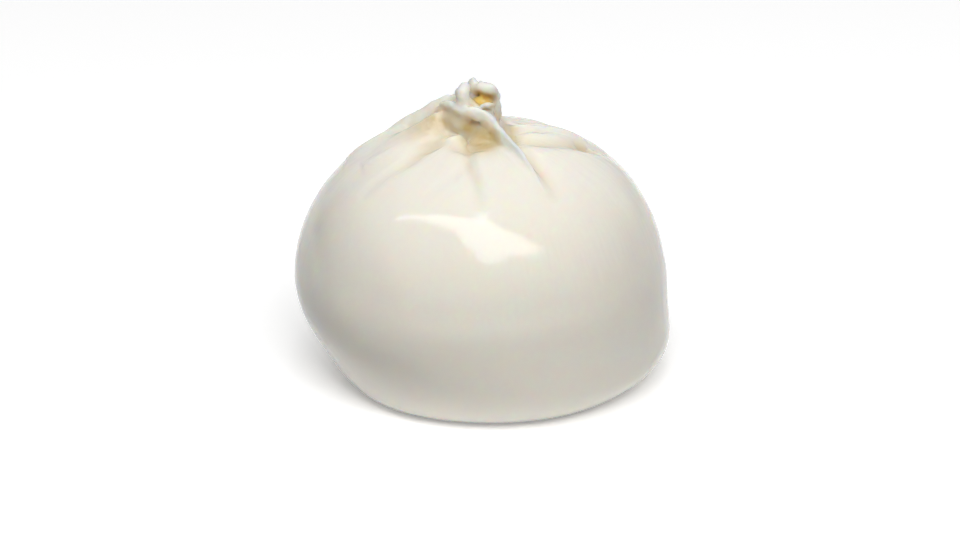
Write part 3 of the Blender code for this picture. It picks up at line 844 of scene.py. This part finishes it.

# painted shade in the knot's pits, creases and throat under the strand, and painted light on the
# strand where the amount is below 0: place and radius in mm, how much
paintedShadingSpots = {
    "throat": ((0.9, -8.6, 63.2), 4.4, 1.0),
    "knotHollow": ((0.2, -2.2, 71.4), 1.9, 2.3),
    "rightUnderside": ((2.6, -3.0, 71.6), 1.7, 1.0),
    "leftFold": ((-7.2, -4.2, 67.0), 3.0, 0.4),
    "leftPinch": ((-3.2, -6.5, 65.8), 1.9, 0.9),
    "leftHump": ((-15.8, -1.5, 63.2), 5.0, 0.4),
    "leftShoulder": ((-11.0, -3.0, 65.4), 3.8, 0.6),
    "rightFold": ((8.5, -4.5, 64.0), 4.5, 0.12),
    # painted light: amounts below 0 make the strand paler
    "strandTop": ((0.6, -6.9, 69.6), 1.5, -0.6),
    "strandBend": ((3.6, -8.4, 67.6), 1.7, -0.8),
    "strandRun": ((6.6, -12.0, 65.2), 1.9, -0.8),
    "strandFoot": ((9.6, -16.2, 63.0), 1.9, -0.4),
}


def fibreCoordinates(tree, place, around, length):   # noise stretched away from the neck
    parts = axes(tree, place)
    flat = fromAxes(tree, parts["X"], parts["Y"], 0.0)
    radius = vectorCalc(tree, "LENGTH", flat)
    spread = scaled(tree, vectorCalc(tree, "NORMALIZE", flat), around)
    outwards = calc(tree, "DIVIDE", calc(tree, "SUBTRACT", radius, parts["Z"]), length)
    return vectorCalc(tree, "ADD", spread, fromAxes(tree, 0.0, 0.0, outwards)), radius


def blurred(tree, value, rounds, weight):
    values = {"Value": value, "Iterations": rounds, "Weight": weight}
    return put(tree, "GeometryNodeBlurAttribute", values, data_type="FLOAT_VECTOR").outputs[0]


def raisedFibres(tree, given, place, height):
    fibre, radius = fibreCoordinates(tree, place, given["Fibres Around"], given["Fibre Length"])
    inner = remap(tree, radius, given["Fibre Inner"], given["Fibre Inner Full"])
    outer = remap(tree, radius, given["Fibre Outer Full"], given["Fibre Outer"], 1.0, 0.0)
    upper = remap(tree, height, given["Fibre Foot"], given["Fibre Foot Full"])
    strands = noise(tree, fibre, 1.0, given["Fibre Detail"], given["Fibre Ragged"])
    share = times(tree, times(tree, inner, outer), upper)
    return times(tree, times(tree, strands, share), given["Fibre Height"])


def reliefTree():
    inputs = namedInputs(fusing, "seamRounds", "seamFull") + namedInputs(relief)
    tree, given, out = newShapeTree("skinRelief", inputs)
    here = put(tree, "GeometryNodeInputPosition").outputs[0]
    facing = put(tree, "GeometryNodeInputNormal").outputs[0]
    seam = remap(tree, readAttribute(tree, "seam"), 0.0, given["Seam Full"])
    soft = blurred(tree, here, given["Seam Rounds"], seam)
    softened = movePoints(tree, given["Geometry"], Position=soft)

    place = scaled(tree, here, 1 / mm)
    height = axes(tree, place)["Z"]
    fibres = raisedFibres(tree, given, place, height)
    dents = noise(tree, place, calc(tree, "DIVIDE", 1.0, given["Dent Size"]), given["Dent Detail"])
    dents = times(tree, dents, given["Dent Height"])
    knot = remap(tree, height, given["Crumple Foot"], given["Crumple Full"])
    crumple = noise(tree, place, calc(tree, "DIVIDE", 1.0, given["Crumple Size"]),
                    given["Crumple Detail"])
    crumple = times(tree, crumple, times(tree, given["Crumple Height"], knot))
    clean = remap(tree, height, given["Clean Base"], given["Clean Foot"])
    rise = times(tree, plus(tree, fibres, dents, crumple), clean, 2 * mm)
    raised = movePoints(tree, softened, Offset=scaled(tree, facing, rise))

    # hollow mask: how far a point sits below its neighbours, for painted shade in the knot's
    # hollows
    around = blurred(tree, here, given["Hollow Rounds"], 1.0)
    inwards = vectorCalc(tree, "SUBTRACT", around, here)
    depth = vectorCalc(tree, "DOT_PRODUCT", inwards, facing)
    hollow = calc(tree, "DIVIDE", depth, times(tree, given["Hollow Depth"], mm))
    # painted shade spots, and painted light where an amount is below 0, added to the folds'
    # painted shade
    warm = readAttribute(tree, "warm")
    for spot, radius, amount in paintedShadingSpots.values():
        share = bell(tree, vectorCalc(tree, "DISTANCE", place, spot), radius)
        warm = calc(tree, "MULTIPLY_ADD", share, amount, warm)
    marked = storeAttribute(tree, raised, "warm", warm)
    marked = storeAttribute(tree, marked, "hollow", hollow)
    finishTree(tree, marked, given["Material"], out["Geometry"])
    return tree


def settle(piece, node):      # centred over the frame's own box, standing on the same floor
    points = [vert.co for vert in piece.data.vertices]
    low = [min(point[axis] for point in points) for axis in range(3)]
    high = [max(point[axis] for point in points) for axis in range(3)]
    nodeLow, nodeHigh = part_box(node)
    shift = Vector([(nodeLow[axis] + nodeHigh[axis] - low[axis] - high[axis]) / 2
                    for axis in range(3)])
    shift.z = nodeLow[2] - low[2]
    for vert in piece.data.vertices:
        vert.co += shift


# the skin's material

cheese = {
    "ivory": (0.925, 0.88, 0.795),
    "warm": (0.61, 0.47, 0.22),       # painted shade: the darker warm colour of the knot's creases and hollows
    "goldenPaintedShade": (0.84, 0.57, 0.15),     # painted shade deep in the knot's hollow
    "goldenShadeFrom": 1.1,                # amount of painted shade at which the golden painted shade starts
    "goldenShadeFull": 1.8,
    "knotFoot": 54.0,                 # mm, hollows get painted shade above this height
    "knotFull": 64.0,
    "hollowFrom": -0.2,               # range of the hollow mask that gets painted shade
    "hollowFull": 1.2,
    # how much painted shade the hollows take
    "hollowPaintedShade": 0.35,
    "mottle": 0.10,
    "mottleScale": 0.12,              # noise cells to a mm
    "mottleDetail": 3.0,
    "radius": (1.0, 0.66, 0.40),      # how far red, green and blue light spread
    "depth": 0.004,                   # metres
    "roughness": 0.05,
    "gloss": 1.35,                    # index of refraction
    "fibreBump": 0.03,                # mm
    "pebbleBump": 0.012,
    "pebbleScale": 0.9,
    "pebbleDetail": 2.0,
}

fibres = {
    "around": 36.0,           # noise cells to a radius
    "length": 9.0,            # mm along the fibre
    "inner": 6.0,             # mm from the middle, and how far they grow in over
    "innerFade": 6.0,
    "foot": 22.0,             # mm up, and how far they grow in over
    "footFade": 14.0,
}


def mixColour(tree, share, first, second):
    node = put(tree, "ShaderNodeMix", data_type="RGBA")
    sockets = {socket.identifier: socket for socket in (*node.inputs, *node.outputs)}
    connect(tree, share, sockets["Factor_Float"])
    connect(tree, first, sockets["A_Color"])
    connect(tree, second, sockets["B_Color"])
    return sockets["Result_Color"]


def fibreGroup():
    inputs = [("Vector", "NodeSocketVector", None)] + namedInputs(fibres)
    outputs = [("Height", "NodeSocketFloat")]
    tree, given, out = newTree("radialFibres", "ShaderNodeTree", inputs, outputs)
    place, radius = fibreCoordinates(tree, given["Vector"], given["Around"], given["Length"])
    strands = noise(tree, place, 1.0, 0.0)
    innerFull = plus(tree, given["Inner"], given["Inner Fade"])
    footFull = plus(tree, given["Foot"], given["Foot Fade"])
    height = axes(tree, given["Vector"])["Z"]
    share = times(tree, remap(tree, radius, given["Inner"], innerFull),
                  remap(tree, height, given["Foot"], footFull))
    connect(tree, times(tree, strands, share), out["Height"])
    return tree


def cheeseMaterial():
    material = bpy.data.materials.new("fresh_cheese_skin")
    material.use_nodes = True
    tree = material.node_tree
    shader = tree.nodes["Principled BSDF"]
    for label, value in {"Subsurface Weight": 1.0, "Subsurface Radius": cheese["radius"],
                         "Subsurface Scale": cheese["depth"], "Roughness": cheese["roughness"],
                         "IOR": cheese["gloss"]}.items():
        shader.inputs[label].default_value = value
    place = scaled(tree, put(tree, "ShaderNodeTexCoord").outputs["Object"], 1 / mm)
    height = axes(tree, place)["Z"]
    # painted shade: the knot's hollows and the painted marks turn the ivory darker and warmer,
    # deepest to golden; the mottle is the cheese's own uneven tone
    hollow = put(tree, "ShaderNodeAttribute", attribute_name="hollow").outputs["Fac"]
    paintedShadingMarks = put(tree, "ShaderNodeAttribute", attribute_name="warm").outputs["Fac"]
    knot = remap(tree, height, cheese["knotFoot"], cheese["knotFull"])
    inHollow = times(tree, remap(tree, hollow, cheese["hollowFrom"], cheese["hollowFull"]), knot)
    paintedShadingAmount = calc(tree, "MULTIPLY_ADD", inHollow, cheese["hollowPaintedShade"], paintedShadingMarks)
    mottle = noise(tree, place, cheese["mottleScale"], cheese["mottleDetail"])
    shadeAndMottle = calc(tree, "ADD", paintedShadingAmount, times(tree, mottle, cheese["mottle"]), clamp=True)
    deepPaintedShade = remap(tree, paintedShadingAmount, cheese["goldenShadeFrom"], cheese["goldenShadeFull"])
    colour = mixColour(tree, shadeAndMottle, (*cheese["ivory"], 1.0), (*cheese["warm"], 1.0))
    colour = mixColour(tree, deepPaintedShade, colour, (*cheese["goldenPaintedShade"], 1.0))
    connect(tree, colour, shader.inputs["Base Color"])
    strands = put(tree, "ShaderNodeGroup", {"Vector": place}, node_tree=fibreGroup())
    pebbles = noise(tree, place, cheese["pebbleScale"], cheese["pebbleDetail"])
    heights = plus(tree, times(tree, strands.outputs["Height"], cheese["fibreBump"]),
                   times(tree, pebbles, cheese["pebbleBump"]))
    bump = put(tree, "ShaderNodeBump", {"Height": heights, "Distance": mm, "Strength": 1.0})
    connect(tree, bump.outputs[0], shader.inputs["Normal"])
    return material


def makeBurrata():
    skin = makeSkin()
    pressFolds(skin)
    fuseLobes(skin, makeLobes())
    addNodes(skin, reliefTree(), {"Material": cheeseMaterial()})
    bake(skin, "burrata_cheese")
    settle(skin, "burrata")
    skin.data.shade_smooth()
    print("relief raised:", len(skin.data.polygons), "triangles")
    return skin


burrata = makeBurrata()
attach(burrata, "root")
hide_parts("burrata")


# floor, light and camera; sizes in metres

floorLook = {
    "size": 12.0,
    "shade": 0.93,
    "bounceNear": 0.88,       # what it sends back up as soft light, near the cheese
    "bounceFar": 0.11,
    "nearEdge": 0.045,        # from the middle
    "farEdge": 0.085,
    "roughness": 0.55,
    "glow": 0.27,             # lifts what the camera and reflections see
}

studio = {
    "target": (-0.00075, -0.00135, 0.0265),
    "distance": 0.668,
    "elevation": 21.3,        # degrees
    "lens": 100.0,
    "sensor": 36.0,
    "nearClip": 0.01,
    "surroundingsDim": 0.05,
    "surroundingsBright": 0.65,
    "brightSide": 10.0,       # degrees that the bright surroundings are turned to the right
    "brightFrom": 0.55,       # how far to the back they begin
    "brightFull": 0.70,
}

# an overhead bank of panels that light and reflect as one
lightBank = {
    "place": (-0.08, -0.41, 0.91),    # its direction from the cheese
    "distance": 2.5,
    "power": 21.4,                    # watts to a square metre
    # left, right, bottom and top edge of each panel
    "panels": [(0.10, 0.36, 0.46, 0.78), (-1.95, 0.40, 0.34, 0.46), (-1.35, 0.50, 0.18, 0.34),
               (-1.02, 1.50, 0.00, 0.18), (-0.74, 2.05, -0.24, 0.00), (-0.42, 2.20, -0.50, -0.24),
               (-0.18, 1.70, -0.76, -0.50), (0.06, 1.30, -1.02, -0.76),
               (0.26, 1.00, -1.26, -1.02)],
}


def floorMaterial():
    material = bpy.data.materials.new("pale_floor")
    material.use_nodes = True
    tree = material.node_tree
    shader = tree.nodes["Principled BSDF"]
    shader.inputs["Roughness"].default_value = floorLook["roughness"]
    away = vectorCalc(tree, "LENGTH", put(tree, "ShaderNodeTexCoord").outputs["Object"])
    bounce = remap(tree, away, floorLook["nearEdge"], floorLook["farEdge"],
                   floorLook["bounceNear"], floorLook["bounceFar"])
    soft = put(tree, "ShaderNodeLightPath").outputs["Is Diffuse Ray"]
    shade = remap(tree, soft, 0.0, 1.0, floorLook["shade"], bounce, smooth=False)
    colour = put(tree, "ShaderNodeCombineColor", {"Red": shade, "Green": shade, "Blue": shade})
    connect(tree, colour.outputs[0], shader.inputs["Base Color"])
    glow = remap(tree, soft, 0.0, 1.0, floorLook["glow"], 0.0, smooth=False)
    shader.inputs["Emission Color"].default_value = white
    connect(tree, glow, shader.inputs["Emission Strength"])
    return material


def makeFloor():
    half = floorLook["size"] / 2
    corners = [(-half, -half, 0.0), (half, -half, 0.0), (half, half, 0.0), (-half, half, 0.0)]
    floor = meshObject("floor", corners, faces=[(0, 1, 2, 3)])
    floor.data.materials.append(floorMaterial())


def makeLightBank():
    middle = Vector(lightBank["place"]).normalized() * lightBank["distance"]
    facing = middle.to_track_quat("Z", "Y").to_euler()
    for count, (left, right, bottom, top) in enumerate(lightBank["panels"], 1):
        light = bpy.data.lights.new("bank_panel_%d" % count, "AREA")
        light.shape = "RECTANGLE"
        light.size, light.size_y = right - left, top - bottom
        light.energy = lightBank["power"] * light.size * light.size_y
        lamp = bpy.data.objects.new(light.name, light)
        offset = Vector(((left + right) / 2, (bottom + top) / 2, 0.0))
        offset.rotate(facing)
        lamp.location = middle + offset
        lamp.rotation_euler = facing
        scene.collection.objects.link(lamp)


def makeWorld():
    world = bpy.data.worlds.new("studio")
    scene.world = world
    world.use_nodes = True
    tree = world.node_tree
    direction = put(tree, "ShaderNodeTexCoord").outputs["Generated"]
    side = math.radians(studio["brightSide"])
    back = vectorCalc(tree, "DOT_PRODUCT", direction, (math.sin(side), math.cos(side), 0.0))
    level = remap(tree, back, studio["brightFrom"], studio["brightFull"],
                  studio["surroundingsDim"], studio["surroundingsBright"])
    background = tree.nodes["Background"]
    background.inputs["Color"].default_value = white
    connect(tree, level, background.inputs["Strength"])


def makeCamera():
    data = bpy.data.cameras.new("camera")
    data.lens = studio["lens"]
    data.sensor_width = studio["sensor"]
    data.clip_start = studio["nearClip"]
    camera = bpy.data.objects.new("camera", data)
    lean = math.radians(studio["elevation"])
    back = Vector((0.0, -math.cos(lean), math.sin(lean))) * studio["distance"]
    camera.location = Vector(studio["target"]) + back
    camera.rotation_euler = (math.pi / 2 - lean, 0.0, 0.0)
    scene.collection.objects.link(camera)
    scene.camera = camera


makeFloor()
makeLightBank()
makeWorld()
makeCamera()
scene.view_settings.view_transform = "Standard"
print("studio set")
